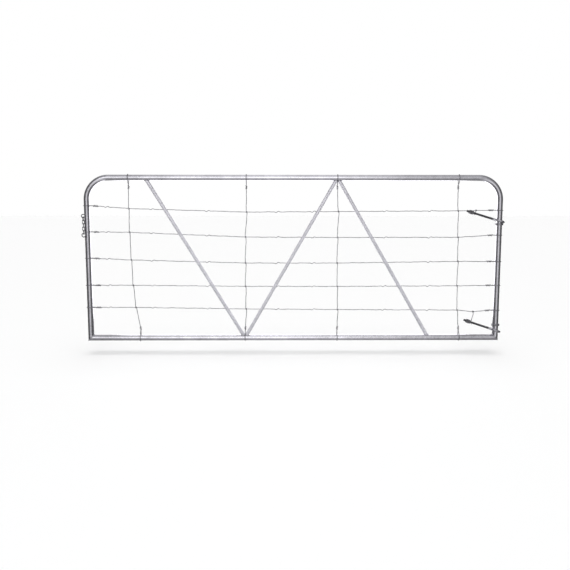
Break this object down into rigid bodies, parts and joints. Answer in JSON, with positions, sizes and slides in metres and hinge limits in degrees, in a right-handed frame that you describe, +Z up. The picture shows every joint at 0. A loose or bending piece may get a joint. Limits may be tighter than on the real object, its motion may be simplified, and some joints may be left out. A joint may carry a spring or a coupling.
{
  "type": "field gate",
  "caption": "Wide tubular steel gate leaf with rounded top corners, slanted braces and wire infill, hung on eye bolts, with a latch chain and ring.",
  "frame": {"origin": "below the middle of the leaf, level with the underside of the bottom rail", "axes": "+X along the leaf from the latch stile to the hanging stile, +Y towards the back, +Z up"},
  "size_m": [3.0335, 0.083, 1.2113],
  "materials": {
    "frame_tube": "hot-dip galvanised, satin with fine spangle",
    "brace_tube": "hot-dip galvanised, pale and even",
    "infill_wire": "galvanised wire, satin",
    "tie_wire": "galvanised wire, satin",
    "eye_bolt": "galvanised, dull grey, threaded",
    "fastener": "galvanised, dull grey",
    "collar": "galvanised, dull grey",
    "chain": "galvanised chain, dull grey"
  },
  "bodies": {
    "hinge_bolts": {"lower_eye_bolt": "eye_bolt", "lower_inner_nut": "fastener", "lower_inner_washer": "fastener", "lower_outer_nut": "fastener", "lower_outer_washer": "fastener", "upper_eye_bolt": "eye_bolt", "upper_inner_nut": "fastener", "upper_inner_washer": "fastener", "upper_outer_nut": "fastener", "upper_outer_washer": "fastener"},
    "leaf": {"bent_frame_tube": "frame_tube", "bottom_rail": "frame_tube", "brace_left": "brace_tube", "brace_middle": "brace_tube", "brace_right": "brace_tube", "chain_staple": "chain", "line_wire_1": "infill_wire", "line_wire_2": "infill_wire", "line_wire_3": "infill_wire", "line_wire_4": "infill_wire", "line_wire_5": "infill_wire", "lower_stop_collar": "collar", "lower_tie_wire": "tie_wire", "stay_wire_1": "infill_wire", "stay_wire_2": "infill_wire", "stay_wire_3": "infill_wire", "stay_wire_4": "infill_wire", "upper_stop_collar": "collar", "upper_tie_wire": "tie_wire"},
    "chain_link_1": {"chain_link_1": "chain"},
    "chain_link_2": {"chain_link_2": "chain"},
    "chain_link_3": {"chain_link_3": "chain"},
    "chain_link_4": {"chain_link_4": "chain"},
    "chain_link_5": {"chain_link_5": "chain"},
    "latch_ring": {"latch_ring": "chain"}
  },
  "joints": [
    {"name": "leaf_swing", "type": "hinge", "parent": "hinge_bolts", "child": "leaf", "pos_m": [1.479, 0, 0.6], "axis": [0, 0, -1], "range_deg": [0, 335]},
    {"name": "link_1_swing", "type": "hinge", "parent": "leaf", "child": "chain_link_1", "pos_m": [-1.50066, -0.02875, 0.897], "axis": [-0.6018, -0.7986, 0], "range_deg": [-45, 45]},
    {"name": "link_2_swing", "type": "hinge", "parent": "chain_link_1", "child": "chain_link_2", "pos_m": [-1.50066, -0.02875, 0.8735], "axis": [-0.6967, 0.7173, 0], "range_deg": [0, 45]},
    {"name": "link_3_swing", "type": "hinge", "parent": "chain_link_2", "child": "chain_link_3", "pos_m": [-1.50066, -0.02875, 0.8495], "axis": [0.8158, 0.5783, 0], "range_deg": [-45, 5]},
    {"name": "link_4_swing", "type": "hinge", "parent": "chain_link_3", "child": "chain_link_4", "pos_m": [-1.50066, -0.02875, 0.8255], "axis": [-0.4462, 0.8949, 0], "range_deg": [0, 45]},
    {"name": "link_5_swing", "type": "hinge", "parent": "chain_link_4", "child": "chain_link_5", "pos_m": [-1.50066, -0.02875, 0.8015], "axis": [-0.9528, -0.3035, 0], "range_deg": [0, 45]},
    {"name": "ring_swing", "type": "hinge", "parent": "chain_link_5", "child": "latch_ring", "pos_m": [-1.50066, -0.02875, 0.7775], "axis": [-0.1536, 0.9881, 0], "range_deg": [0, 30]}
  ]
}
